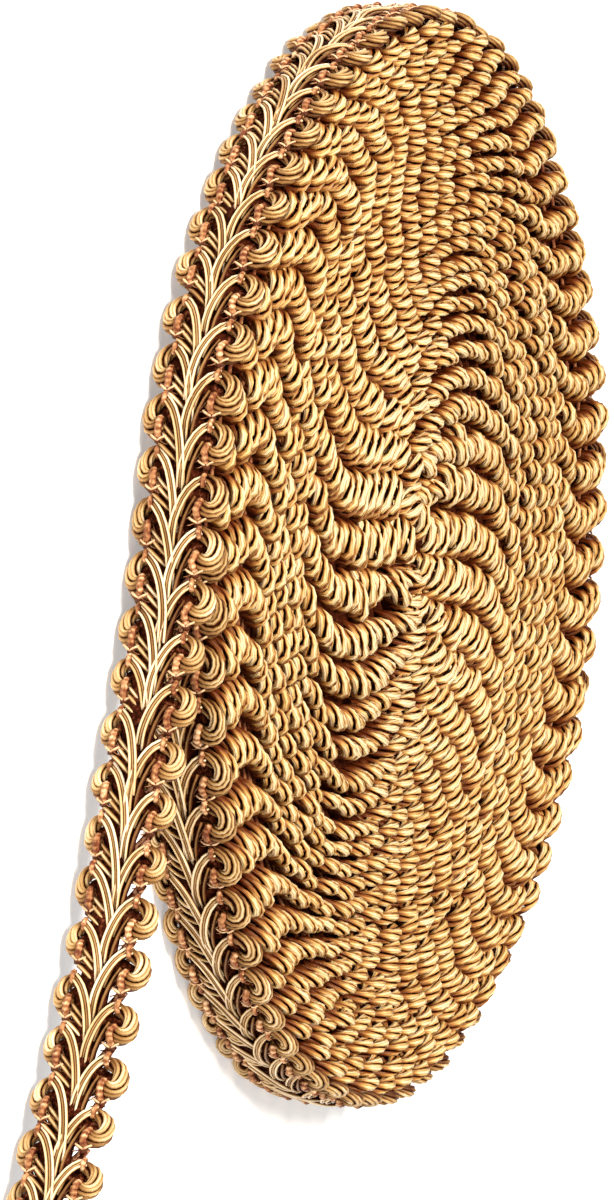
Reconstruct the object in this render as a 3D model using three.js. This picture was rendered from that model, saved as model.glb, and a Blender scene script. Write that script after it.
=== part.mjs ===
// Gimp braid trim, wound into a flat roll that lies on its side, with a loose end
//
// Millimetres, +Z up. The roll lies on Z = 0 with its winding axis along +Z, and the
// origin is under the middle of the roll. Seen from above the braid winds outwards
// anticlockwise. Its last turn lets go at the front of the roll (-Y) and runs off
// towards +X, standing on its edge. The roll is one solid with one shallow groove
// between each turn and the next, and the loose end is a flat strip.

import * as THREE from "three";

// Driving dimensions
const BRAID_WIDTH = 13; // across both rows of loops, which is also the roll's height
const TURN_STEP = 2.01; // how much one turn adds to the radius
const TURNS = 35;
const TURN_SIDES = 40; // straight sides that stand for one turn
const LET_GO_ANGLE = THREE.MathUtils.degToRad(-92); // where the last turn leaves the roll
const DISH = 2.2; // how far the middle of the upper face lies below its rim
const MIDDLE_SHIFT_X = -3; // the first turns lie off the centre of the last ones
const GROOVE_DEPTH = 1.0; // between two turns, below their crests
const RIM_DROP = 1.4; // the outermost turn rounds down by this at its upper edge
const FOOT_INSET = 1.0; // the lower rim is chamfered by this much

// The loose end
const STRIP_THICKNESS = 1.5; // solid strip, a little thinner than the yarns that cover it
const STRIP_EDGE = 0.4; // chamfer along the strip's edges
const STRIP_STEPS = 30;
const GAP = 0.38; // from the step on the roll to the strip, along the strip

// Route of the loose end seen from above, after the point where it lets go
const STRIP_ROUTE = [
  { x: 5, y: -69.9 },
  { x: 12, y: -71.6 },
  { x: 22, y: -74.6 },
  { x: 34, y: -77.6 },
  { x: 46, y: -80.6 },
  { x: 58, y: -84.9 },
  { x: 70, y: -90.2 },
  { x: 84, y: -97.6 },
];

const ROLL_RADIUS = TURNS * TURN_STEP; // of the last turn's outer face where it lets go

// Angle around the roll after a number of sides, counted from the first turn's start
function angleAt(side) {
  return LET_GO_ANGLE + (2 * Math.PI * side) / TURN_SIDES;
}

// A point of the winding, at a radius and height, with the turns' middle shifted
function windingPoint(side, radius, z) {
  const shift = MIDDLE_SHIFT_X * (1 - radius / ROLL_RADIUS);
  const angle = angleAt(side);
  return new THREE.Vector3(shift + radius * Math.cos(angle), radius * Math.sin(angle), z);
}

// Height of the upper face's crests at a radius
function crestHeight(radius) {
  const out = radius / ROLL_RADIUS;
  return BRAID_WIDTH - DISH * (1 - out * out);
}

// Groove between two turns; side counts along the outer face of the inner turn
function groovePoint(side) {
  const radius = (TURN_STEP * side) / TURN_SIDES;
  return windingPoint(side, radius, crestHeight(radius) - GROOVE_DEPTH);
}

// Crest of a turn, halfway between its two grooves
function crestPoint(side) {
  const radius = (TURN_STEP * side) / TURN_SIDES - TURN_STEP / 2;
  return windingPoint(side, radius, crestHeight(radius));
}

// Collects triangles and hands them back as a geometry
class Surface {
  constructor() {
    this.numbers = [];
  }
  triangle(a, b, c) {
    for (const point of [a, b, c]) this.numbers.push(point.x, point.y, point.z);
  }
  quad(a, b, c, d) {
    this.triangle(a, b, c);
    this.triangle(a, c, d);
  }
  geometry() {
    const made = new THREE.BufferGeometry();
    made.setAttribute("position", new THREE.Float32BufferAttribute(this.numbers, 3));
    made.computeVertexNormals();
    return made;
  }
}

// Upper face: a spiral of ridges with a small fan in the middle
function addUpperFace(surface, rimPoint) {
  const lastSide = TURNS * TURN_SIDES;
  const middle = groovePoint(0);
  for (let side = 1; side < TURN_SIDES; side += 1) {
    surface.triangle(middle, groovePoint(side), groovePoint(side + 1));
  }
  surface.triangle(middle, groovePoint(TURN_SIDES), crestPoint(TURN_SIDES));
  for (let side = TURN_SIDES; side < lastSide; side += 1) {
    const inner = groovePoint(side - TURN_SIDES);
    const innerNext = groovePoint(side + 1 - TURN_SIDES);
    const crest = crestPoint(side);
    const crestNext = crestPoint(side + 1);
    const isLastTurn = side >= lastSide - TURN_SIDES;
    const outer = isLastTurn ? rimPoint(side) : groovePoint(side);
    const outerNext = isLastTurn ? rimPoint(side + 1) : groovePoint(side + 1);
    surface.quad(inner, crest, crestNext, innerNext);
    surface.quad(crest, outer, outerNext, crestNext);
  }
}

// The outline of the last turn as a closed loop, at an inset and a height. The point
// before the last is the crest of the braid where it lets go, on the small step.
function outline(inset, z) {
  const lastSide = TURNS * TURN_SIDES;
  const points = [];
  for (let side = lastSide - TURN_SIDES; side <= lastSide; side += 1) {
    const radius = (TURN_STEP * side) / TURN_SIDES - inset;
    points.push(windingPoint(side, radius, z));
  }
  const crestRadius = TURN_STEP * (TURNS - 0.5) - inset;
  points.push(windingPoint(lastSide, crestRadius, z));
  return points;
}

function wall(surface, lower, upper) {
  for (let i = 0; i < lower.length; i += 1) {
    const next = (i + 1) % lower.length;
    surface.quad(lower[i], lower[next], upper[next], upper[i]);
  }
}

function rollGeometry() {
  const surface = new Surface();
  const lastSide = TURNS * TURN_SIDES;
  const firstRimSide = lastSide - TURN_SIDES;
  const rimHeight = BRAID_WIDTH - RIM_DROP;
  const top = outline(0, rimHeight);
  const stepGroove = groovePoint(firstRimSide);
  const rimPoint = (side) => top[side - firstRimSide];
  top[top.length - 1] = crestPoint(lastSide);
  addUpperFace(surface, rimPoint);
  // The groove beside the outermost turn runs out to the rim at the step
  surface.triangle(crestPoint(firstRimSide), stepGroove, top[0]);
  surface.triangle(stepGroove, crestPoint(lastSide), top[0]);
  const foot = outline(0, FOOT_INSET);
  const base = outline(FOOT_INSET, 0);
  wall(surface, foot, top);
  wall(surface, base, foot);
  const centre = new THREE.Vector3(0, 0, 0);
  base.forEach((point, i) => {
    surface.triangle(centre, base[(i + 1) % base.length], point);
  });
  return surface.geometry();
}

// Section of the strip: x runs up the braid's width, y through its thickness
function stripSection() {
  const tall = BRAID_WIDTH / 2;
  const thick = STRIP_THICKNESS / 2;
  const corners = [
    [tall, thick - STRIP_EDGE],
    [tall - STRIP_EDGE, thick],
    [STRIP_EDGE - tall, thick],
    [-tall, thick - STRIP_EDGE],
    [-tall, STRIP_EDGE - thick],
    [STRIP_EDGE - tall, -thick],
    [tall - STRIP_EDGE, -thick],
    [tall, STRIP_EDGE - thick],
  ];
  return new THREE.Shape(corners.map(([x, y]) => new THREE.Vector2(x, y)));
}

function stripGeometry() {
  const startRadius = ROLL_RADIUS - TURN_STEP / 2;
  const z = BRAID_WIDTH / 2;
  const letGo = windingPoint(TURNS * TURN_SIDES, startRadius, z);
  const along = new THREE.Vector3(-Math.sin(LET_GO_ANGLE), Math.cos(LET_GO_ANGLE), 0);
  const start = letGo.clone().addScaledVector(along, GAP);
  const route = [start, ...STRIP_ROUTE.map(({ x, y }) => new THREE.Vector3(x, y, z))];
  return new THREE.ExtrudeGeometry(stripSection(), {
    steps: STRIP_STEPS,
    extrudePath: new THREE.CatmullRomCurve3(route, false, "centripetal"),
  });
}

function goldYarn(colour) {
  return new THREE.MeshStandardMaterial({ color: colour, roughness: 0.42, metalness: 0.0 });
}

const roll = new THREE.Mesh(rollGeometry(), goldYarn(0xd8a860));
roll.name = "roll";

const looseEnd = new THREE.Mesh(stripGeometry(), goldYarn(0xcf9c54));
looseEnd.name = "loose_end";

const braidTrim = new THREE.Group();
braidTrim.add(roll, looseEnd);

export default braidTrim;
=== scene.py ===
# Gimp braid trim: a flat roll of gold scroll braid that lies on its side, with a loose end
#
# The braid is first built flat, in millimetres, in coordinates of its own: u runs along it
# towards the free end, w across it and n out of its outer face. wind() then lays it along
# the route that the frame's solids have, and hands it over in metres.

import math
from collections import namedtuple

import bpy
import numpy as np
from mathutils import Matrix, Vector

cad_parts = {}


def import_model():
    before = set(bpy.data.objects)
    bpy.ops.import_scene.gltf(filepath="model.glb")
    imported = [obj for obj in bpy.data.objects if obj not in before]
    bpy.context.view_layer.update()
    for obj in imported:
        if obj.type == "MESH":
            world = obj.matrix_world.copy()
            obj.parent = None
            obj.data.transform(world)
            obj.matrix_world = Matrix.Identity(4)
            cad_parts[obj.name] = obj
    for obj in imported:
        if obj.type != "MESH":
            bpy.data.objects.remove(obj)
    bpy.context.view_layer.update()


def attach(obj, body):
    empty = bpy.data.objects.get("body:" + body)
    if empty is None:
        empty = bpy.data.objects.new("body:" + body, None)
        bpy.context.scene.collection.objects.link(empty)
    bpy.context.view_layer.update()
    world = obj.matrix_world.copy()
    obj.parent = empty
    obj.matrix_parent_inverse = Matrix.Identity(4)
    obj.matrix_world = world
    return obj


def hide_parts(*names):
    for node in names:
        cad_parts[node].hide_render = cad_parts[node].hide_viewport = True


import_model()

MM = 0.001
rng = np.random.default_rng(20)

# The roll and the loose end's route, as in the frame
BRAID_WIDTH = 13.0
TURN_STEP = 2.01
TURNS = 35
ROLL_RADIUS = TURNS * TURN_STEP
LET_GO_ANGLE = math.radians(-92)
DISH = 2.2
MIDDLE_SHIFT_X = -3.0
ROUTE = [
    (5, -69.9),
    (12, -71.6),
    (22, -74.6),
    (34, -77.6),
    (46, -80.6),
    (58, -84.9),
    (70, -90.2),
    (84, -97.6),
]

# The braid's repeat. Each turn holds two loops more than the turn inside it.
PITCH = math.pi * TURN_STEP
FIRST_RADIUS = 1.9  # of the innermost turn's middle line
HOLE_W = 3.15  # loop holes lie this far from the braid's middle line

# How far the loops of a turn lie past those of the next, by turn, as a share of a pitch
MATCH_TURNS = (0, 11, 17, 21.5, 25.5, 29, 32, 35)
MATCH_SHARES = (-0.02, -0.02, 0.16, 0.46, 0.46, 0.22, -0.17, -0.25)

# The end of the braid, from here on, lies a little tighter than it was wound
END_STARTS_U = -110.0
END_PITCH = 6.2
END_ROOM = 2.5  # what would pass the free end is drawn up in this last stretch
FIRST_HOLE_U = 2.5

# The outermost turn and the loose end sag on their lower loops. The sag grows in the stretch
# before that turn, from this many of its lengths before the point where the braid lets go.
SAG = 0.85
SAG_STARTS = 1.15

LOOSE_SHRINK = 0.13  # the loose end's loops are smaller by this share
SHRINK_LENGTH = 12.0  # and they get so over this length
BACK_SHRINK = 0.16  # those of the outermost turn at the back of the roll are smaller by this
BACK_RISE = 1.4  # and the outer turns stand a little higher there

# Turns between which the winding changes, counted from the middle of the roll
EVEN_TURNS = (TURNS - 0.8, TURNS - 2.8)  # the outermost turn lies even, those inside don't
UNTIDY_TURNS = (16, 7)  # from the first of these to the second, loops lie less neatly
INNER_TURNS = (18, 8)  # and from the first of these to the second, they are larger and painted lighter

# Slow waves along the braid, each with its height, its length over two pi and its start
RISE_WAVES = [(0.2, 9.1, 0.4), (0.22, 23.7, 1.0), (0.18, 61.0, 2.2)]
OUT_WAVES = [(0.09, 14.3, 0.0), (0.1, 37.0, 1.7)]
LOOP_WAVES = [(0.34, 8.0, 0.0), (0.3, 21.0, 1.0)]


# Camera, at the photo's viewing angle: the roll's axis runs across the picture

CAMERA_AT = (0, -664.27, 250.77)
LOOKS_ASIDE = math.radians(0.484)  # from +Y towards +X
LOOKS_DOWN = math.radians(20.987)
CAMERA_ROLL = math.radians(94.268)
SENSOR_HEIGHT = 36
LENS = 167.585


def make_camera():
    data = bpy.data.cameras.new("camera")
    data.sensor_fit = "VERTICAL"
    data.sensor_height = SENSOR_HEIGHT
    data.lens = LENS
    data.clip_start = 0.01
    data.clip_end = 20
    camera = bpy.data.objects.new("camera", data)
    aside = Matrix.Rotation(-LOOKS_ASIDE, 4, "Z")
    down = Matrix.Rotation(math.pi / 2 - LOOKS_DOWN, 4, "X")
    rolled = Matrix.Rotation(CAMERA_ROLL, 4, "Z")
    camera.matrix_world = Matrix.Translation(Vector(CAMERA_AT) * MM) @ aside @ down @ rolled
    bpy.context.scene.collection.objects.link(camera)
    bpy.context.scene.camera = camera


# The route of the braid's middle line, seen from above

ROUTE_STEPS = 360  # in one turn
SPAN_STEPS = 24  # between two points of the loose end's route
HALF_TURN = 0.5  # the middle line lies half a turn's thickness inside the outer face


def share(value, low, high):
    """How far a value has come from low to high, from 0 to 1."""
    return np.clip((value - low) / (high - low), 0, 1)


def waves(u, rows):
    """Sum of slow waves along the braid."""
    return sum(height * np.sin(u / length + start) for height, length, start in rows)


def smooth_route(points, steps):
    """Centripetal Catmull-Rom curve through the points, ends included."""
    p = np.array(points, float)
    p = np.vstack([2 * p[0] - p[1], p, 2 * p[-1] - p[-2]])
    made = []
    for a, b, c, d in zip(p, p[1:], p[2:], p[3:]):
        gap = [math.sqrt(np.linalg.norm(y - x)) for x, y in ((a, b), (b, c), (c, d))]
        start = ((b - a) / gap[0] - (c - a) / (gap[0] + gap[1]) + (c - b) / gap[1]) * gap[1]
        end = ((c - b) / gap[1] - (d - b) / (gap[1] + gap[2]) + (d - c) / gap[2]) * gap[1]
        t = np.linspace(0, 1, steps, endpoint=False)[:, None]
        cubic = (2 * b - 2 * c + start + end) * t**3
        made.append(cubic + (3 * c - 3 * b - 2 * start - end) * t**2 + start * t + b)
    return np.vstack(made + [p[-2][None]])


def whole_route():
    """Points of the middle line from the innermost turn to the free end, how many of them
    are wound, and the radii of those."""
    first_turn = FIRST_RADIUS / TURN_STEP + HALF_TURN
    turn = np.linspace(first_turn, TURNS, int((TURNS - first_turn) * ROUTE_STEPS))
    radius = TURN_STEP * (turn - HALF_TURN)
    angle = LET_GO_ANGLE + 2 * math.pi * turn
    shift = MIDDLE_SHIFT_X * (1 - radius / ROLL_RADIUS)
    wound = np.stack([shift + radius * np.cos(angle), radius * np.sin(angle)], 1)
    free = smooth_route([wound[-1]] + ROUTE, SPAN_STEPS)
    return np.vstack([wound, free[1:]]), len(wound), radius


route, wound_count, wound_radius = whole_route()
step_lengths = np.linalg.norm(np.diff(route, axis=0), axis=1)
route_u = np.concatenate([[0], np.cumsum(step_lengths)])
route_u -= route_u[wound_count - 1]  # u is 0 where the braid lets go
tangent = np.gradient(route, route_u, axis=0)
tangent /= np.linalg.norm(tangent, axis=1, keepdims=True)
route_radius = np.concatenate([wound_radius, np.full(len(route) - wound_count, ROLL_RADIUS)])
route_turn = route_radius / TURN_STEP + HALF_TURN

FREE_LENGTH = route_u[-1]
BRAID_STARTS_U = route_u[0]
OUTER_TURN_U = -2 * math.pi * (ROLL_RADIUS - TURN_STEP)  # where the outermost turn starts

# How far the braid's upper half drops and rises, how far all of it lies out, and how far it
# sags, at each point of the route
route_drop = DISH * (1 - (route_radius / ROLL_RADIUS) ** 2)
route_uneven = share(route_turn, *EVEN_TURNS)
back_rise = BACK_RISE * share(route[:, 1], 0, ROLL_RADIUS) ** 3
route_rise = back_rise + route_uneven * waves(route_u, RISE_WAVES)
route_out = route_uneven * waves(route_u, OUT_WAVES)
route_sag = SAG * share(route_u, SAG_STARTS * OUTER_TURN_U, OUTER_TURN_U)

UPPER_HALF_W = (-1, 1)  # the rise grows from none to all of it between these
SAG_W = (-6, -3)  # and so does the sag, so that the lowest yarns stay on the floor


def along(u, values):
    """Values that belong to the route's points, at places u."""
    return np.interp(u, route_u, values)


def wind(points):
    """Lays points (u, w, n) of the flat braid along the route, in metres."""
    u, w, n = points[..., 0], points[..., 1], points[..., 2]
    near_end = FREE_LENGTH - END_ROOM
    left = END_ROOM * np.exp(np.minimum(near_end - u, 0) / END_ROOM)
    u = np.where(u > near_end, FREE_LENGTH - left, u)
    past = np.clip(u, BRAID_STARTS_U, FREE_LENGTH)
    tx, ty = along(past, tangent[:, 0]), along(past, tangent[:, 1])
    size = np.hypot(tx, ty)
    tx, ty = tx / size, ty / size
    n = n + along(past, route_out)
    x = along(past, route[:, 0]) + (u - past) * tx + n * ty
    y = along(past, route[:, 1]) + (u - past) * ty - n * tx
    lifted = along(past, route_rise - route_drop) * share(w, *UPPER_HALF_W)
    pressed = share(w, *SAG_W) * along(past, route_sag)
    z = BRAID_WIDTH / 2 + w - pressed + lifted
    return np.stack([x, y, z], -1) * MM


# Mesh making: every yarn is a closed tube, and many tubes are joined in one piece

OUTWARD = np.array([0.0, 0.0, 1.0])  # out of the braid's outer face
OUT_STEP = 0.1  # a short way outward, which tells where outward is once wound
RUN_START = 5.0  # the wraps of no two yarns start alike, up to this far along


class Yarns:
    """Collects tubes of the flat braid and makes one object of them."""

    def __init__(self, name, crown=(0.54, 0.56)):
        """crown is the painted light and shade on each yarn: how light it is painted halfway down
        its sides, where painted shade falls between yarns, and how much lighter its top is painted
        as a painted highlight.
        """
        self.name = name
        self.crown = crown
        self.count = 0
        self.verts = []
        self.quads = []
        self.quad_looks = []
        self.caps = {}
        self.cap_looks = {}
        self.values = {"run": [], "light": [], "tone": [], "swirl": []}

    def add(self, lines, outward, radius, sides, tone, bright, look=0):
        """lines are (tubes, points, 3) in flat coordinates, and outward points away from what
        the tube lies on. radius is (across, outward), each a number or one per point. tone is
        the colour of each tube, bright how light it is painted as painted light and shade, and
        look its place in make's materials."""
        tubes, points = lines.shape[:2]
        centre = wind(lines)
        ref = wind(lines + outward * OUT_STEP) - centre
        way = np.gradient(centre, axis=1)
        way /= np.linalg.norm(way, axis=2, keepdims=True) + 1e-12
        ref -= (ref * way).sum(2, keepdims=True) * way
        ref /= np.linalg.norm(ref, axis=2, keepdims=True) + 1e-12
        side = np.cross(way, ref)
        across, deep = (np.asarray(size, float) for size in radius)
        across = np.broadcast_to(across, (tubes, points))[..., None, None]
        deep = np.broadcast_to(deep, (tubes, points))[..., None, None]
        turn = 2 * math.pi * np.arange(sides) / sides
        c, s = np.cos(turn)[:, None], np.sin(turn)[:, None]
        ring = (ref[:, :, None] * c * deep + side[:, :, None] * s * across) * MM
        verts = (centre[:, :, None] + ring).reshape(-1, 3)
        verts[:, 2] = np.maximum(verts[:, 2], 0)  # pressed flat where it rests
        self.verts.append(verts)
        self.add_faces(tubes, points, sides, look)
        self.count += len(verts)

        gaps = np.linalg.norm(np.diff(centre, axis=1), axis=2) / MM
        run = np.concatenate([np.zeros((tubes, 1)), np.cumsum(gaps, 1)], 1)
        run = run + rng.uniform(0, RUN_START, (tubes, 1))
        # Painted light and shade: each yarn is painted lightest on its crown and darker down its
        # sides and underneath, where it meets its neighbours, all of it times bright
        crown = np.clip(self.crown[0] + self.crown[1] * np.cos(turn), 0, 1)
        light = np.broadcast_to(crown, (tubes, points, sides))
        light = light * np.broadcast_to(np.asarray(bright, float), (tubes, points))[..., None]
        tone = np.broadcast_to(np.asarray(tone, float).reshape(-1, 1, 1), light.shape)
        self.values["run"].append(np.repeat(run.reshape(-1), sides))
        self.values["light"].append(light.reshape(-1))
        self.values["tone"].append(tone.reshape(-1))
        self.values["swirl"].append((across[..., 0] * np.sin(turn)).reshape(-1))

    def add_faces(self, tubes, points, sides, look):
        """Sides and two caps for each tube, whose points are about to be counted."""
        tube, point, corner = np.meshgrid(
            np.arange(tubes), np.arange(points - 1), np.arange(sides), indexing="ij"
        )
        base = self.count + (tube * points + point) * sides
        following = (corner + 1) % sides
        ring, next_ring = base, base + sides
        quads = [ring + corner, ring + following, next_ring + following, next_ring + corner]
        quads = np.stack(quads, -1).reshape(-1, 4)
        self.quads.append(quads)
        self.quad_looks.append(np.full(len(quads), look))
        starts = self.count + np.arange(tubes)[:, None] * points * sides
        first = starts + np.arange(sides)[::-1]
        last = starts + (points - 1) * sides + np.arange(sides)
        self.caps.setdefault(sides, []).append(np.vstack([first, last]))
        self.cap_looks.setdefault(sides, []).append(np.full(2 * tubes, look))

    def make(self, materials, slot):
        mesh = bpy.data.meshes.new(self.name)
        verts = np.concatenate(self.verts)
        quads = np.concatenate(self.quads)
        loops = [quads.reshape(-1)]
        totals = [np.full(len(quads), 4)]
        looks = list(self.quad_looks)
        for sides, caps in self.caps.items():
            caps = np.concatenate(caps)
            loops.append(caps.reshape(-1))
            totals.append(np.full(len(caps), sides))
            looks += self.cap_looks[sides]
        loops, totals = np.concatenate(loops), np.concatenate(totals)
        mesh.vertices.add(len(verts))
        mesh.vertices.foreach_set("co", verts.astype(np.float32).ravel())
        mesh.loops.add(len(loops))
        mesh.loops.foreach_set("vertex_index", loops.astype(np.int32))
        mesh.polygons.add(len(totals))
        starts = np.concatenate([[0], np.cumsum(totals)[:-1]])
        mesh.polygons.foreach_set("loop_start", starts.astype(np.int32))
        mesh.polygons.foreach_set("use_smooth", np.ones(len(totals), bool))
        for material in materials:
            mesh.materials.append(material)
        mesh.polygons.foreach_set("material_index", np.concatenate(looks).astype(np.int32))
        for name, values in self.values.items():
            attribute = mesh.attributes.new(name, "FLOAT", "POINT")
            attribute.data.foreach_set("value", np.concatenate(values).astype(np.float32))
        mesh.update(calc_edges=True)
        mesh.validate()
        made = bpy.data.objects.new(self.name, mesh)
        bpy.context.scene.collection.objects.link(made)
        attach(made, "root")
        return made


# Rows: the braid's loops along one edge, and what is copied beside each of them

# Where the holes of the loops lie along the braid, the row's side (1 is the upper edge and
# -1 the lower one), and how far each loop is off its place, in the columns below
Row = namedtuple("Row", "centres side jitter")
ALONG, ACROSS, OUT, SIZE, LEAN_ALONG, LEAN_ACROSS = range(6)


def uneven(count, along_it, across, out, size, lean):
    """Random jitter for that many loops, from how far they are off in each way."""
    return rng.normal(0, 1, (count, 6)) * (along_it, across, out, size, lean, lean)


def place(local, row, wobble=1.0):
    """Copies local (yarns, points, 3) to each hole of a row, mirrored to its side. wobble is
    how many times the row's jitter the copies have."""
    jitter = row.jitter * wobble
    at = np.zeros((len(row.centres), 1, 1, 3))
    at[:, 0, 0, 0] = row.centres + jitter[:, ALONG]
    at[:, 0, 0, 1] = HOLE_W + jitter[:, ACROSS]
    at[:, 0, 0, 2] = jitter[:, OUT]
    placed = local[None] * (1 + jitter[:, SIZE])[:, None, None, None] + at
    lean_along = jitter[:, LEAN_ALONG, None, None] * local[..., 0]
    lean_across = jitter[:, LEAN_ACROSS, None, None] * local[..., 1]
    placed[..., 2] += lean_along + lean_across
    placed[..., 1] *= row.side
    return placed.reshape(-1, *local.shape[1:])


def mirrored(ways, row):
    """Copies ways (yarns, points, 3) for each hole of a row, mirrored to its side."""
    turned = np.broadcast_to(ways[None], (len(row.centres), *ways.shape)).copy()
    turned[..., 1] *= row.side
    return turned.reshape(-1, *ways.shape[1:])


def tones(row, spread):
    """A random tone for each hole of a row."""
    return rng.normal(0.5, spread, len(row.centres))


YARN_STEPS = 16  # between two points of a yarn's own route


def curve_through(points, count):
    """Points at even distances on a smooth curve through the few points given."""
    fine = smooth_route(points, YARN_STEPS)
    run = np.concatenate([[0], np.cumsum(np.linalg.norm(np.diff(fine, axis=0), axis=1))])
    at = np.linspace(0, run[-1], count)
    return np.stack([np.interp(at, run, fine[:, i]) for i in range(fine.shape[1])], 1)


def add_yarn(yarns, row, points, count, sides, radius, tone, bright, look=0, wobble=1.0):
    """One yarn of count points through the few points given, beside each hole of a row."""
    line = curve_through(points, count)
    yarns.add(place(line[None], row, wobble), OUTWARD, radius, sides, tone, bright, look)


# Loops: a bundle of yarns that turns round its hole like a small horn, twisted as it goes

HORN_START = math.radians(-8)
HORN_END = math.radians(198)
HORN_TWIST = 1.1  # radians for each radian of the way round
ARCH_HALF = 1.74  # half of a loop's length along the braid
ARCH_HEIGHT = 2.1  # from its hole to its tip
FOOT_DROP = 0.5  # the very end of its foot dips into the braid
FOOT_ANGLES = (2.9, 3.4)  # where that starts, and where it is complete

# Half the width and depth of the bundle at its neck, and how much they grow to its foot
NECK_HALF = (0.62, 0.56)
FOOT_GROWS = (0.46, 0.16)

# How far a loop's tip lies towards its foot, how far its foot lies out of the braid, how wide
# its bundle is, how round its arch is (1 is an ellipse, less is squarer), and how much painted
# shade darkens the yarns that face the braid's back
Form = namedtuple("Form", "skew lean width round back_dark")
SHOWN_FORM = Form(skew=0.35, lean=0.2, width=1.0, round=0.85, back_dark=0.6)
PACKED_FORM = Form(skew=0.85, lean=-0.7, width=0.87, round=0.9, back_dark=0.0)
INNER_FORM = PACKED_FORM._replace(round=0.6, skew=0.6)

PLIES = np.radians([-134, -54, 29, 117])  # where each ply is at the loop's tip
PLY_SPREAD = math.radians(17)  # each ply is a flat pair of yarns
LOOP_YARNS = (PLIES[:, None] + [-PLY_SPREAD, PLY_SPREAD]).ravel()

# The yarns of a bundle: where they are at the loop's tip, how many points and sides each has,
# half its width at its start and end, half its depth, and how light it is painted at the loop's
# feet, where painted shade falls, and at its tip, which is painted lighter
Bundle = namedtuple("Bundle", "turns count sides wide deep shades")
END_BUNDLE = Bundle(LOOP_YARNS, count=15, sides=6, wide=(0.23, 0.29), deep=0.29, shades=(0.6, 0.9))
OUTER_BUNDLE = END_BUNDLE._replace(count=11, sides=5)
UPPER_BUNDLE = Bundle(PLIES, count=10, sides=5, wide=(0.44, 0.62), deep=0.33, shades=(0.22, 1.04))
LOWER_BUNDLE = Bundle(PLIES[1:], count=6, sides=4, wide=(0.5, 0.66), deep=0.4, shades=(0.7, 1.0))

VARIANTS = 6  # loops differ in how far their plies are turned
VARIANT_TURN = 0.6
PLY_TONES = (0.3, 0.7)
LOOP_TONE_SPREAD = 0.14
INNER_PAINTED_LIGHT = 0.35  # painted light, added to the tone towards the middle of the roll

# The painted light round a loop's tip, above the painted shade at its feet: how wide it is, and
# how softly it fades
TIP_WIDTH = 1.15
TIP_FADE = 1.5


def arch_outward(phi):
    """The way out of a loop's arch, in the plane of the braid."""
    return np.stack([-np.cos(phi), np.sin(phi), np.zeros(len(phi))], 1)


def horn_axis(phi, form):
    """Middle of a loop's bundle, a squarish arch that leans out of the braid as it comes down."""
    c, s = np.cos(phi), np.sin(phi)
    rise = np.sign(s) * np.abs(s) ** form.round
    along_it = -ARCH_HALF * np.sign(c) * np.abs(c) ** form.round + form.skew * rise
    out = -form.lean * c - FOOT_DROP * share(phi, *FOOT_ANGLES) ** 2
    return np.stack([along_it, ARCH_HEIGHT * rise, out], 1)


def horn(turns, count, form):
    """Flat lines of a loop's yarns about its hole, and the way out of the bundle."""
    phi = np.linspace(HORN_START, HORN_END, count)
    grown = share(phi, 0, math.pi)
    wide = ((NECK_HALF[0] + FOOT_GROWS[0] * grown) * form.width)[:, None]
    deep = (NECK_HALF[1] + FOOT_GROWS[1] * grown)[:, None]
    turn = turns[:, None] + HORN_TWIST * (phi - math.pi / 2)
    c, s = np.cos(turn)[..., None], np.sin(turn)[..., None]
    out = arch_outward(phi)
    lines = horn_axis(phi, form) + out * c * wide + OUTWARD * s * deep
    ways = out * c / wide + OUTWARD * s / deep
    return lines, ways / np.linalg.norm(ways, axis=2, keepdims=True)


def inner_share(centres):
    """From 0 to 1 towards the middle of the roll."""
    return share(along(centres, route_turn), *INNER_TURNS)


def add_loops(yarns, row, bundle, form):
    """A row's loops, in a few variants that take turns along the row."""
    low, high = bundle.shades
    phi = np.linspace(HORN_START, HORN_END, bundle.count)
    # painted shade at each loop's feet and painted light round its tip
    bright = low + (high - low) * np.clip(TIP_WIDTH * np.sin(phi), 0, 1) ** TIP_FADE
    radius = (np.linspace(*bundle.wide, bundle.count), bundle.deep)
    each = len(bundle.turns)
    for variant in range(VARIANTS):
        mine = slice(variant, None, VARIANTS)
        part = Row(row.centres[mine], row.side, row.jitter[mine])
        turned = bundle.turns + rng.uniform(-VARIANT_TURN, VARIANT_TURN)
        lines, ways = horn(turned, bundle.count, form)
        tone = np.tile(rng.uniform(*PLY_TONES, each), len(part.centres))
        tone += rng.normal(0, LOOP_TONE_SPREAD, len(tone))
        # painted light: loops are painted lighter towards the middle of the roll
        tone += INNER_PAINTED_LIGHT * np.repeat(inner_share(part.centres), each)
        # painted shade on the yarns that face the braid's back
        shown = bright * (1 - form.back_dark * np.clip(-ways[..., 2], 0, 1))
        shown = np.tile(shown, (len(part.centres), 1))
        yarns.add(place(lines, part), mirrored(ways, part), radius, bundle.sides, tone, shown)


CORE_INSET = 0.1  # radians by which a core is shorter than its loop at each end
CORE_NECK_HALF = (0.45, 0.5)
CORE_GROWS = (0.1, 0.42)


def add_cores(ground, row):
    """Middle of each shown loop's bundle, painted dark as painted shade between its yarns."""
    phi = np.linspace(HORN_START + CORE_INSET, HORN_END - CORE_INSET, 6)
    grown = share(phi, 0, math.pi)
    axis = horn_axis(phi, SHOWN_FORM)
    ways = mirrored(arch_outward(phi)[None], row)
    radius = [neck + grows * grown for neck, grows in zip(CORE_NECK_HALF, CORE_GROWS)]
    ground.add(place(axis[None], row), ways, radius, sides=6, tone=0.4, bright=0.34)


# Arms: flat cords that climb from the braid's middle line to each loop, and come back below.
# These and the yarns further down are points (u, w, n) from the hole of their loop.

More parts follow.
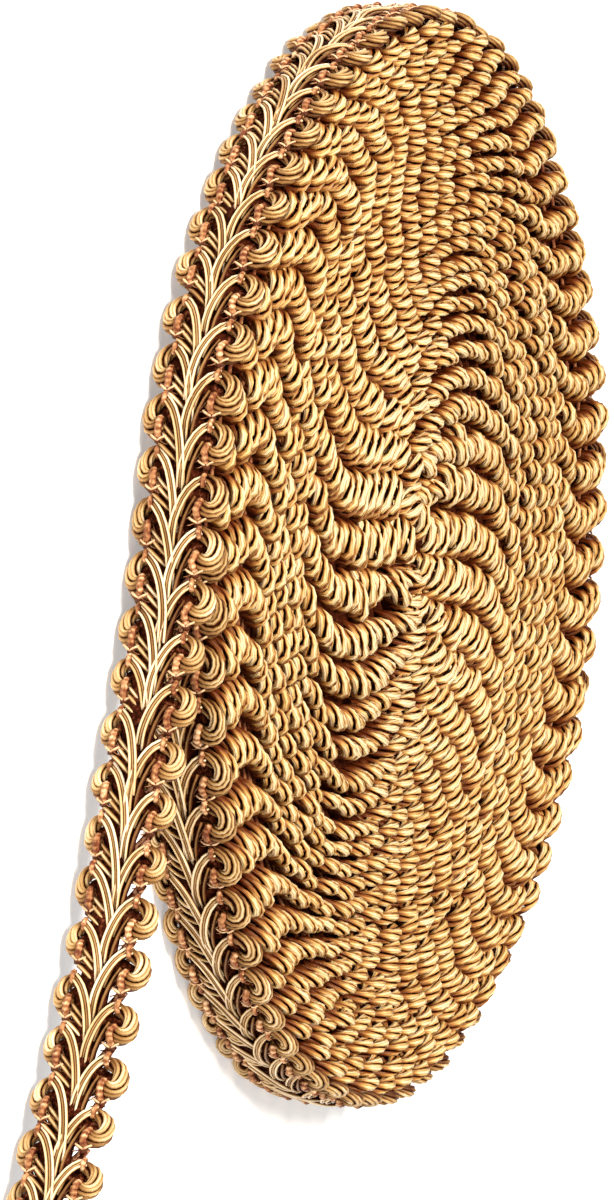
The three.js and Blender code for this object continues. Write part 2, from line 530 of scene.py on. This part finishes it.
ARM = [
    (7.6, -3.15, 0.05),
    (6.2, -3.1, 0.5),
    (4.8, -3.05, 0.85),
    (3.4, -2.9, 1.05),
    (1.6, -2.45, 1.1),
    (0.1, -1.85, 1.0),
    (-0.95, -1.2, 0.85),
    (-1.65, -0.45, 0.6),
    (-1.95, 0.2, 0.35),
]
LOW_ARM = [
    (8.0, -3.35, 0.05),
    (6.4, -3.35, 0.5),
    (4.6, -3.2, 0.9),
    (2.7, -2.8, 1.1),
    (0.9, -2.2, 1.15),
    (-0.7, -1.3, 1.0),
    (-1.6, -0.35, 0.65),
    (-1.95, 0.2, 0.35),
]
RETURN = [
    (2.5, -0.1, -0.35),
    (3.6, -0.9, -0.7),
    (5.0, -2.0, -0.75),
    (6.4, -2.9, -0.6),
    (7.6, -3.3, -0.3),
]
ARM_SPREAD = 0.36  # from the middle of an arm to the yarn along its edge
BACK_SPREAD = 0.3
RETURN_SPREAD = 0.32
MIDDLE_SUNK = 0.05  # the yarn between the two edges, painted darker as shade in the gap, lies lower by this
EDGE_TONES = [0.85, 0.6]
EDGE_TONE_SPREAD = 0.15
BACK_N = -0.4  # where an arm lies on the braid's back, and how much of its rise it has there
BACK_RELIEF = -0.6


def pair_of(points, count, spread):
    """Two flat lines beside one line."""
    line = curve_through(points, count)
    way = np.gradient(line, axis=0)
    beside = np.stack([-way[:, 1], way[:, 0], np.zeros(count)], 1)
    beside /= np.linalg.norm(beside, axis=1, keepdims=True)
    return np.stack([line + beside * spread, line - beside * spread])


def add_arms(yarns, row, count, sides):
    """Each arm is a flat cord, with a light yarn along each edge and one between them that is
    painted darker, as painted shade in the gap.
    """
    edges = pair_of(ARM if row.side > 0 else LOW_ARM, count, ARM_SPREAD)
    tone = np.tile(EDGE_TONES, len(row.centres))
    tone += rng.normal(0, EDGE_TONE_SPREAD, len(tone))
    yarns.add(place(edges, row), OUTWARD, (0.17, 0.24), sides, tone, bright=0.95)
    # painted shade: the middle yarn is painted darker than the edges
    middle = place(edges.mean(0)[None] - (0, 0, MIDDLE_SUNK), row)
    yarns.add(middle, OUTWARD, (0.25, 0.17), sides=4, tone=tones(row, 0.2), bright=0.72)


def add_back(yarns, row):
    """The arms as they show on the braid's back."""
    lines = pair_of(ARM, 9, BACK_SPREAD)
    lines[..., 2] = BACK_N + BACK_RELIEF * lines[..., 2]
    yarns.add(place(lines, row), -OUTWARD, (0.29, 0.22), sides=4, tone=0.45, bright=0.85)


def add_returns(ground, row):
    """The cords that come back under the arms, in the dark brown of painted shade."""
    lines = pair_of(RETURN, 6, RETURN_SPREAD)
    ground.add(place(lines, row), OUTWARD, (0.3, 0.28), sides=5, tone=0.5, bright=0.9)


# Ground: what shows between the arms

STAY = [  # a cord inside each upper arm
    (6.2, -2.2, 0.4),
    (4.6, -2.05, 0.75),
    (2.9, -1.7, 0.85),
    (1.3, -1.15, 0.75),
    (0.2, -0.75, 0.45),
]
THIN_ARM = [  # and a thinner one beside it
    (2.6, -2.2, 0.6),
    (0.8, -1.8, 0.7),
    (-0.8, -1.1, 0.75),
    (-1.75, -0.3, 0.65),
    (-2.3, 0.3, 0.45),
]
FANS = [  # three short cords that spread out below each lower arm
    [(1.3, -0.3, 0.3), (1.9, -1.0, 0.75), (2.7, -1.9, 0.75), (3.4, -2.6, 0.2)],
    [(2.2, -0.3, 0.3), (2.9, -1.1, 0.8), (3.7, -2.0, 0.75), (4.4, -2.7, 0.2)],
    [(3.5, -0.1, 0.3), (4.0, -0.9, 0.8), (4.8, -1.9, 0.75), (5.5, -2.7, 0.2)],
]
# the bottom of each hole, painted dark as painted shade
HOLE_FILL = [(0.2, 0.7, -0.4), (0.4, -0.6, -0.35), (0.9, -2.4, -0.3)]
FILL_HALF_WIDTHS = (0.7, 1.6, 1.9, 1.9)
GOLD_LOOK = 1  # the ground pieces' second material
GROUND_TONE_SPREAD = 0.2


def add_ground(ground, row):
    """What lies between each arm and its stitch, and the bottom of each hole, painted dark as
    painted shade.
    """
    tone = tones(row, GROUND_TONE_SPREAD)
    radius = (FILL_HALF_WIDTHS, 0.3)
    add_yarn(ground, row, HOLE_FILL, len(FILL_HALF_WIDTHS), 6, radius, tone, bright=0.36)
    if row.side > 0:
        kinds = [(STAY, 6, (0.24, 0.22), 0.66), (THIN_ARM, 7, (0.15, 0.2), 0.9)]
    else:
        kinds = [(fan, 5, (0.27, 0.24), 0.92) for fan in FANS]
    for points, count, radius, bright in kinds:
        tone = tones(row, GROUND_TONE_SPREAD)
        add_yarn(ground, row, points, count, 4, radius, tone, bright, GOLD_LOOK)


# Binding: fine coppery threads that hold each row of loops

# A thread's points, how often it is wrapped, its half width and depth, and how light it is
# painted on its ridges, as painted light, and between them, as painted shade
Stitch = namedtuple("Stitch", "points wraps across deep high low")
NECK_STITCH = [(-2.5, 0, 0.2), (-2.1, 0, 0.7), (-1.6, 0, 0.8), (-1.0, 0, 0.4)]
FOOT_STITCH = [
    (0.5, 0.05, 0.45),
    (0.95, -0.05, 0.95),
    (1.65, -0.15, 1.15),
    (2.35, -0.1, 0.95),
    (2.8, 0.05, 0.45),
]
KNOT = [(2.7, 0.05, 0.3), (3.05, -0.05, 0.55), (3.5, 0.05, 0.3)]
STITCHES = [
    Stitch(NECK_STITCH, wraps=3, across=0.34, deep=0.3, high=0.95, low=0.7),
    Stitch(FOOT_STITCH, wraps=5, across=0.46, deep=0.36, high=0.95, low=0.62),
    Stitch(KNOT, wraps=1, across=0.5, deep=0.25, high=0.2, low=0.2),
]
GROOVE_SIZE = 0.92  # of a stitch between its ridges
STITCH_STRAY = 0.06  # sideways, of each wrap
STITCH_LIGHT = (0.75, 1.05)  # the least and the most, as a share of the light given above

# How many times the jitter of their loops the finer threads have
STITCH_WOBBLE = 1.3
EAR_WOBBLE = 1.5
STRAND_WOBBLE = 1.6

# Fine pinkish strands that cross the ground between the arms and the stitches: each one's
# start and end, as (u, w)
STRANDS = [
    ((3.2, -0.1), (2.6, -1.1)),
    ((3.0, -0.2), (3.5, -1.3)),
    ((1.9, -0.4), (2.9, -1.7)),
    ((0.9, -0.5), (3.0, -1.9)),
]


def add_stitches(binding, row):
    """Thread wrapped round each loop's neck and foot, and the dark knot between two loops."""
    for stitch in STITCHES:
        line = curve_through(stitch.points, 2 * stitch.wraps + 1)[None]
        ridge = np.arange(2 * stitch.wraps + 1) % 2
        swell = GROOVE_SIZE + (1 - GROOVE_SIZE) * ridge
        radius = (stitch.across * swell, stitch.deep * swell)
        # painted light on each ridge and painted shade between the ridges
        bright = stitch.low + (stitch.high - stitch.low) * ridge
        bright = bright * rng.uniform(*STITCH_LIGHT, (len(row.centres), len(ridge)))
        placed = place(line, row, STITCH_WOBBLE)
        placed[..., 1] += rng.normal(0, STITCH_STRAY, placed.shape[:2])
        binding.add(placed, OUTWARD, radius, sides=6, tone=tones(row, 0.3), bright=bright)


def add_ears(binding, row):
    """Short ends of thread that stand out at each knot."""
    for lift in (-1, 1):
        ear = [(3.15, 0, 0.6), (2.95, lift * 0.5, 0.95), (2.6, lift * 1.05, 0.8)]
        add_yarn(binding, row, ear, 4, 4, (0.16, 0.13), tone=1.4, bright=1.0, wobble=EAR_WOBBLE)


def add_strands(binding, row):
    """The fine strands beside each loop."""
    for (start_u, start_w), (end_u, end_w) in STRANDS:
        middle = ((start_u + end_u) / 2 + 0.15, (start_w + end_w) / 2, 0.62)
        strand = [(start_u, start_w, 0.45), middle, (end_u, end_w, 0.5)]
        tone = tones(row, 0.25)
        add_yarn(binding, row, strand, 4, 3, (0.1, 0.1), tone, bright=0.78, wobble=STRAND_WOBBLE)


# What runs on all along the braid, under its arms and loops

def points_along(low, high, per_pitch):
    """Even places from low to high, that many in a pitch."""
    return np.linspace(low, high, int((high - low) / PITCH * per_pitch))


def add_chain(binding, low, high):
    """The binding thread as it runs on below the upper loops, one long soft wave."""
    u = points_along(low, high, per_pitch=3)
    wave = 2 * math.pi * u / PITCH
    line = np.stack([u, HOLE_W + 0.1 * np.sin(wave), 0.3 * np.cos(wave)], 1)
    up = np.array([0.0, 1.0, 0.0])
    binding.add(line[None], up, (0.42, 0.3), sides=5, tone=0.4, bright=0.6)


def add_band(ground, low, high, middle, half, per_pitch, sides):
    """The closed middle of the braid, a flat strip under the arms, painted dark brown as painted
    shade. middle is its (w, n), and half its half width and thickness."""
    u = points_along(low, high, per_pitch)
    line = np.stack([u, np.full(len(u), middle[0]), np.full(len(u), middle[1])], 1)
    ground.add(line[None], OUTWARD, half, sides, tone=0.4, bright=0.3)


def add_start(ground):
    """The folded start of the braid, which closes the middle of the roll, painted dark as painted
    shade.
    """
    w = np.linspace(-6.0, 3.6, 9)
    line = np.stack([np.full(len(w), BRAID_STARTS_U), w, 0.4 * np.sin(w) - FIRST_RADIUS], 1)
    ground.add(line[None], OUTWARD, (1.5, 1.5), sides=10, tone=0.4, bright=0.42)


# Materials

# Colours by how light a yarn is painted, from the painted shade between yarns to their painted
# crown highlights
GOLD_STOPS = [
    (0.0, (0.035, 0.003, 0.001, 1)),
    (0.45, (0.14, 0.019, 0.002, 1)),
    (0.66, (0.43, 0.165, 0.032, 1)),
    (0.84, (0.79, 0.48, 0.155, 1)),
    (1.0, (0.97, 0.73, 0.41, 1)),
]
OLIVE_STOPS = [
    (0.0, (0.030, 0.005, 0.003, 1)),
    (0.45, (0.10, 0.024, 0.007, 1)),
    (0.66, (0.33, 0.155, 0.042, 1)),
    (0.84, (0.70, 0.46, 0.205, 1)),
    (1.0, (0.97, 0.78, 0.56, 1)),
]
COPPER_STOPS = [
    (0.0, (0.040, 0.006, 0.003, 1)),
    (0.45, (0.17, 0.035, 0.014, 1)),
    (0.75, (0.50, 0.22, 0.085, 1)),
    (1.0, (0.87, 0.56, 0.32, 1)),
]
# Dark brown of the ground pieces, painted shade under and between the arms and in the roll's
# middle
SHADE_BROWN_STOPS = [
    (0.0, (0.020, 0.003, 0.001, 1)),
    (0.4, (0.07, 0.012, 0.004, 1)),
    (0.7, (0.24, 0.07, 0.03, 1)),
    (1.0, (0.52, 0.25, 0.14, 1)),
]
PLY_LINE_SHADE = (0.17, 0.052, 0.012, 1)  # painted shade where the yarns of a ply meet
GLOSS_TINT = (1.0, 0.78, 0.42, 1)

TONE_SHARE = 0.3  # how much a yarn's own tone changes its colour
WRAP_PAINTED_SHADING = 0.05  # and how much each wrap changes it, painted darker in its grooves and lighter on its ridges as painted shade
WRAP_HEIGHT = 0.25  # of a wrap, as a share of a yarn's own crown
LINE_SLANT = 0.45  # of the lines between the yarns of a ply
LINE_SHIFT = 7.0  # for each step of tone, so that the lines of no two plies are alike
LINE_EDGE = 1.7  # the higher, the finer the lines
BUMP_STRENGTH = 0.5
BUMP_HEIGHT = 0.07 * MM


def shade(tree, kind, **values):
    node = tree.nodes.new(kind)
    for name, value in values.items():
        setattr(node, name, value)
    return node


def attribute(tree, name):
    return shade(tree, "ShaderNodeAttribute", attribute_name=name).outputs["Fac"]


def maths(tree, operation, *values):
    node = shade(tree, "ShaderNodeMath", operation=operation)
    for socket, value in zip(node.inputs, values):
        if isinstance(value, (int, float)):
            socket.default_value = value
        else:
            tree.links.new(value, socket)
    return node.outputs[0]


def mixed_colour(tree, amount, colour, other):
    node = shade(tree, "ShaderNodeMix", data_type="RGBA")
    in_use = {socket.name: socket for socket in node.inputs if socket.enabled}
    tree.links.new(amount, in_use["Factor"])
    tree.links.new(colour, in_use["A"])
    in_use["B"].default_value = other
    return next(socket for socket in node.outputs if socket.enabled)


def ramp_of(tree, level, stops):
    ramp = shade(tree, "ShaderNodeValToRGB")
    ramp.color_ramp.elements[0].position, ramp.color_ramp.elements[0].color = stops[0]
    ramp.color_ramp.elements[1].position, ramp.color_ramp.elements[1].color = stops[-1]
    for position, colour in stops[1:-1]:
        ramp.color_ramp.elements.new(position).color = colour
    tree.links.new(level, ramp.inputs["Fac"])
    return ramp.outputs["Color"]


def cloudy_change(tree, scale, strength):
    """Soft clouds about 0, which make the colour of a yarn uneven."""
    coords = shade(tree, "ShaderNodeTexCoord").outputs["Object"]
    clouds = shade(tree, "ShaderNodeTexNoise")
    clouds.inputs["Scale"].default_value = scale
    clouds.inputs["Detail"].default_value = 3
    tree.links.new(coords, clouds.inputs["Vector"])
    about_zero = maths(tree, "SUBTRACT", clouds.outputs["Fac"], 0.5)
    return maths(tree, "MULTIPLY", about_zero, strength)


def crown_of_strand(tree, run, tone, strand):
    """Height of the yarns that a ply shows, from 0 where they meet to 1."""
    slant = maths(tree, "MULTIPLY", run, LINE_SLANT)
    slant = maths(tree, "ADD", slant, maths(tree, "MULTIPLY", tone, LINE_SHIFT))
    across = maths(tree, "DIVIDE", attribute(tree, "swirl"), strand)
    phase = maths(tree, "MULTIPLY", maths(tree, "ADD", across, slant), math.pi)
    return maths(tree, "ABSOLUTE", maths(tree, "SINE", phase))


def yarn_material(name, stops, roughness, wraps, gloss, strand=0.0, line=0.0, mottle=(260, 0.35)):
    """Wrapped rayon yarn: painted shade between yarns and painted light on their crowns, with fine
    wraps across, that many in a millimetre. strand is the width of the yarns in a ply, in
    millimetres, and line how dark the painted shade is where they meet. mottle is the scale and
    strength of the cloudy change of colour."""
    material = bpy.data.materials.new(name)
    material.use_nodes = True
    tree = material.node_tree
    shader = tree.nodes["Principled BSDF"]
    shader.inputs["Roughness"].default_value = roughness
    shader.inputs["Specular IOR Level"].default_value = gloss
    shader.inputs["Specular Tint"].default_value = GLOSS_TINT
    run, light, tone = (attribute(tree, kind) for kind in ("run", "light", "tone"))
    wrap = maths(tree, "SINE", maths(tree, "MULTIPLY", run, 2 * math.pi * wraps))
    toned = maths(tree, "MULTIPLY", maths(tree, "SUBTRACT", tone, 0.5), TONE_SHARE)
    # painted shade in the grooves between wraps, painted light on their ridges
    wrapped = maths(tree, "MULTIPLY", wrap, WRAP_PAINTED_SHADING)
    change = maths(tree, "ADD", maths(tree, "ADD", toned, cloudy_change(tree, *mottle)), wrapped)
    level = maths(tree, "MULTIPLY_ADD", change, light, light)
    colour = ramp_of(tree, level, stops)
    height = maths(tree, "MULTIPLY", wrap, WRAP_HEIGHT)
    if strand:
        crown = crown_of_strand(tree, run, tone, strand)
        filled = maths(tree, "MINIMUM", maths(tree, "MULTIPLY", crown, LINE_EDGE), 1)
        groove = maths(tree, "SUBTRACT", 1, filled)
        # painted shade in the lines where the yarns of a ply meet
        colour = mixed_colour(tree, maths(tree, "MULTIPLY", groove, line), colour, PLY_LINE_SHADE)
        height = maths(tree, "ADD", height, crown)
    tree.links.new(colour, shader.inputs["Base Color"])
    bump = shade(tree, "ShaderNodeBump")
    bump.inputs["Strength"].default_value = BUMP_STRENGTH
    bump.inputs["Distance"].default_value = BUMP_HEIGHT
    tree.links.new(height, bump.inputs["Height"])
    tree.links.new(bump.outputs["Normal"], shader.inputs["Normal"])
    return material


# Stretches of the braid

LOOSE_STARTS_U = 1.0  # loops from here on belong to the loose end's pieces
BAND_SPLIT_U = 0.5  # and so does the band
BAND_INSET = 0.5  # from the braid's folded start to its band, and to its binding thread
CHAIN_INSET = 3.0
START_MARGIN = 0.5  # pitches without a loop at the braid's start, and at its free end
END_MARGIN = 0.4
MATCH_STEPS = 700  # in which the loops' places are summed over all turns
SHOWN_JITTER = (0.1, 0.08, 0.05, 0.03, 0.06)
UPPER_JITTER = (0.2, 0.16, 0.08, 0.035, 0.07)
LOWER_JITTER = (0.13, 0.1, 0.09, 0.03, 0.05)
UNTIDY_JITTER = 1.5  # how much is added to the innermost loops' jitter, times their own
OUTER_WAVE_SHARE = 0.3  # of LOOP_WAVES in the outer turns
PACKED_GROWS = 0.02  # by which all packed loops are larger
INNER_GROWS = 0.16  # and the innermost ones on top of that
# painted shade halfway down the sides of each packed ply, and painted highlight on its crown
PACKED_CROWN = (0.5, 0.66)


def loop_count():
    """How many pitches of braid there are up to each point of the route, from the first hole."""
    turn = np.linspace(0, TURNS, MATCH_STEPS)
    matched = np.interp(turn, MATCH_TURNS, MATCH_SHARES)
    gained = np.cumsum(matched) * (turn[1] - turn[0])
    at_end = np.interp(END_STARTS_U, route_u, route_turn)
    shift = np.interp(np.minimum(route_turn, at_end), turn, gained)
    shift -= np.interp(at_end, turn, gained)
    wound = (np.minimum(route_u, END_STARTS_U) - END_STARTS_U) / PITCH
    end = (np.maximum(route_u, END_STARTS_U) - FIRST_HOLE_U) / END_PITCH
    return wound + shift + end


def loop_places(side, low, high):
    """Places of one edge's loops between two points. Those of the lower edge lie half a pitch
    further along."""
    shift = 0.0 if side > 0 else 0.5
    counted = loop_count()
    first = math.ceil(counted[0] + START_MARGIN)
    last = math.floor(counted[-1] - END_MARGIN)
    whole = np.arange(first, last + 1)
    places = np.interp(whole + shift, counted, route_u)
    return places[(places >= low) & (places < high)]


def detailed_stretch(name, low, high, bundle, arm_points, shows_back):
    """One stretch of braid with everything that shows on its outer face."""
    yarns = Yarns(name + "_yarns")
    ground = Yarns(name + "_ground")
    binding = Yarns(name + "_binding")
    for side in (1, -1):
        centres = loop_places(side, low, high)
        row = Row(centres, side, uneven(len(centres), *SHOWN_JITTER))
        loops = Row(centres, side, row.jitter.copy())
        loops.jitter[:, SIZE] -= LOOSE_SHRINK * share(centres, 0, SHRINK_LENGTH)
        loops.jitter[:, SIZE] -= BACK_SHRINK * share(along(centres, route[:, 1]), 0, ROLL_RADIUS)
        add_loops(yarns, loops, bundle, SHOWN_FORM)
        add_cores(ground, loops)
        add_arms(yarns, row, arm_points, bundle.sides)
        add_returns(ground, row)
        if shows_back:
            add_back(yarns, row)
        add_ground(ground, row)
        add_stitches(binding, row)
        add_ears(binding, row)
        add_strands(binding, row)
    return yarns, ground, binding


def make_loose_end(gold, shade_brown, copper):
    yarns, ground, binding = detailed_stretch(
        "loose_end", LOOSE_STARTS_U, FREE_LENGTH, END_BUNDLE, arm_points=16, shows_back=True
    )
    add_band(
        ground, BAND_SPLIT_U, FREE_LENGTH, middle=(-0.55, 0), half=(2.1, 0.6), per_pitch=6, sides=6
    )
    loose = yarns.make([gold], "gold_braid_end")
    loose_ground = ground.make([shade_brown, gold], "gold_braid_end")
    loose_binding = binding.make([copper], "binding_thread")
    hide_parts("loose_end")


def make_outer_turn(gold, shade_brown, copper):
    """The outermost turn, with the middle and the binding thread of all turns inside it."""
    yarns, ground, binding = detailed_stretch(
        "outer_turn", OUTER_TURN_U, LOOSE_STARTS_U, OUTER_BUNDLE, arm_points=10, shows_back=False
    )
    outer = yarns.make([gold], "gold_braid")
    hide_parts("roll")
    for low, high, middle, half in (
        (BRAID_STARTS_U + BAND_INSET, OUTER_TURN_U, (0, 0), (3.3, 1.05)),
        (OUTER_TURN_U, BAND_SPLIT_U, (0, -0.35), (3.3, 0.8)),
    ):
        add_band(ground, low, high, middle, half, per_pitch=3, sides=4)
    add_start(ground)
    ground.make([shade_brown, gold], "gold_braid")
    add_chain(binding, BRAID_STARTS_U + CHAIN_INSET, OUTER_TURN_U)
    binding.make([copper], "binding_thread")


def make_upper_loops(plies):
    """The loops on the face of the roll, in three pieces from the middle outwards."""
    centres = loop_places(1, BRAID_STARTS_U, OUTER_TURN_U)
    forms = (INNER_FORM, PACKED_FORM, PACKED_FORM)
    for i, (part, form) in enumerate(zip(np.array_split(centres, len(forms)), forms)):
        inner = inner_share(part)
        untidy = share(along(part, route_turn), *UNTIDY_TURNS)
        jitter = uneven(len(part), *UPPER_JITTER) * (1 + UNTIDY_JITTER * untidy)[:, None]
        wave_share = OUTER_WAVE_SHARE + (1 - OUTER_WAVE_SHARE) * inner
        jitter[:, ALONG] += wave_share * waves(part, LOOP_WAVES)
        jitter[:, SIZE] += PACKED_GROWS + INNER_GROWS * inner
        yarns = Yarns(f"upper_loops_{i + 1}", PACKED_CROWN)
        add_loops(yarns, Row(part, 1, jitter), UPPER_BUNDLE, form)
        yarns.make([plies], "gold_braid")


def make_lower_loops(plies):
    """The loops that the roll lies on."""
    centres = loop_places(-1, BRAID_STARTS_U, OUTER_TURN_U)
    row = Row(centres, -1, uneven(len(centres), *LOWER_JITTER))
    yarns = Yarns("lower_loops")
    add_loops(yarns, row, LOWER_BUNDLE, PACKED_FORM)
    yarns.make([plies], "gold_braid")


def make_braid():
    gold = yarn_material("gold_yarn", OLIVE_STOPS, roughness=0.38, wraps=6, gloss=0.5)
    plies = yarn_material(
        "gold_ply", GOLD_STOPS, roughness=0.38, wraps=6, gloss=0.5, strand=0.42, line=0.8
    )
    # painted shade: the dark ground pieces under and between the arms and in the roll's middle
    shade_brown = yarn_material(
        "painted_shade_ground", SHADE_BROWN_STOPS, roughness=0.8, wraps=4, gloss=0.05, mottle=(2000, 7)
    )
    copper = yarn_material(
        "copper_thread", COPPER_STOPS, roughness=0.5, wraps=9, gloss=0.35, mottle=(2200, 1.6)
    )
    make_loose_end(gold, shade_brown, copper)
    make_outer_turn(gold, shade_brown, copper)
    make_upper_loops(plies)
    make_lower_loops(plies)


# Stage: pale floor and soft light

FLOOR_REACH = 3.0


def area_light(name, place_at, size, power, colour):
    """A square light that shines at the middle of the roll."""
    data = bpy.data.lights.new(name, "AREA")
    data.size, data.energy, data.color = size, power, colour
    light = bpy.data.objects.new(name, data)
    light.location = place_at
    light.rotation_euler = (-Vector(place_at)).to_track_quat("-Z", "Y").to_euler()
    bpy.context.scene.collection.objects.link(light)


def floor():
    mesh = bpy.data.meshes.new("floor")
    far = FLOOR_REACH
    corners = [(-far, -far, 0), (far, -far, 0), (far, far, 0), (-far, far, 0)]
    mesh.from_pydata(corners, [], [(0, 1, 2, 3)])
    made = bpy.data.objects.new("floor", mesh)
    bpy.context.scene.collection.objects.link(made)
    material = bpy.data.materials.new("pale_floor")
    material.use_nodes = True
    shader = material.node_tree.nodes["Principled BSDF"]
    shader.inputs["Base Color"].default_value = (0.9, 0.9, 0.89, 1)
    shader.inputs["Roughness"].default_value = 0.9
    shader.inputs["Emission Color"].default_value = (1, 1, 1, 1)
    shader.inputs["Emission Strength"].default_value = 0.35
    mesh.materials.append(material)


def world():
    made = bpy.data.worlds.new("studio")
    made.use_nodes = True
    made.node_tree.nodes["Background"].inputs["Color"].default_value = (1, 1, 1, 1)
    made.node_tree.nodes["Background"].inputs["Strength"].default_value = 0.4
    bpy.context.scene.world = made


make_camera()
make_braid()
floor()
world()
area_light("key", (-0.3, -0.42, 0.78), size=0.3, power=13.2, colour=(1, 0.97, 0.92))
area_light("fill", (0.6, -0.6, 0.5), size=0.8, power=2.4, colour=(1, 0.98, 0.95))
bpy.context.scene.view_settings.view_transform = "Standard"
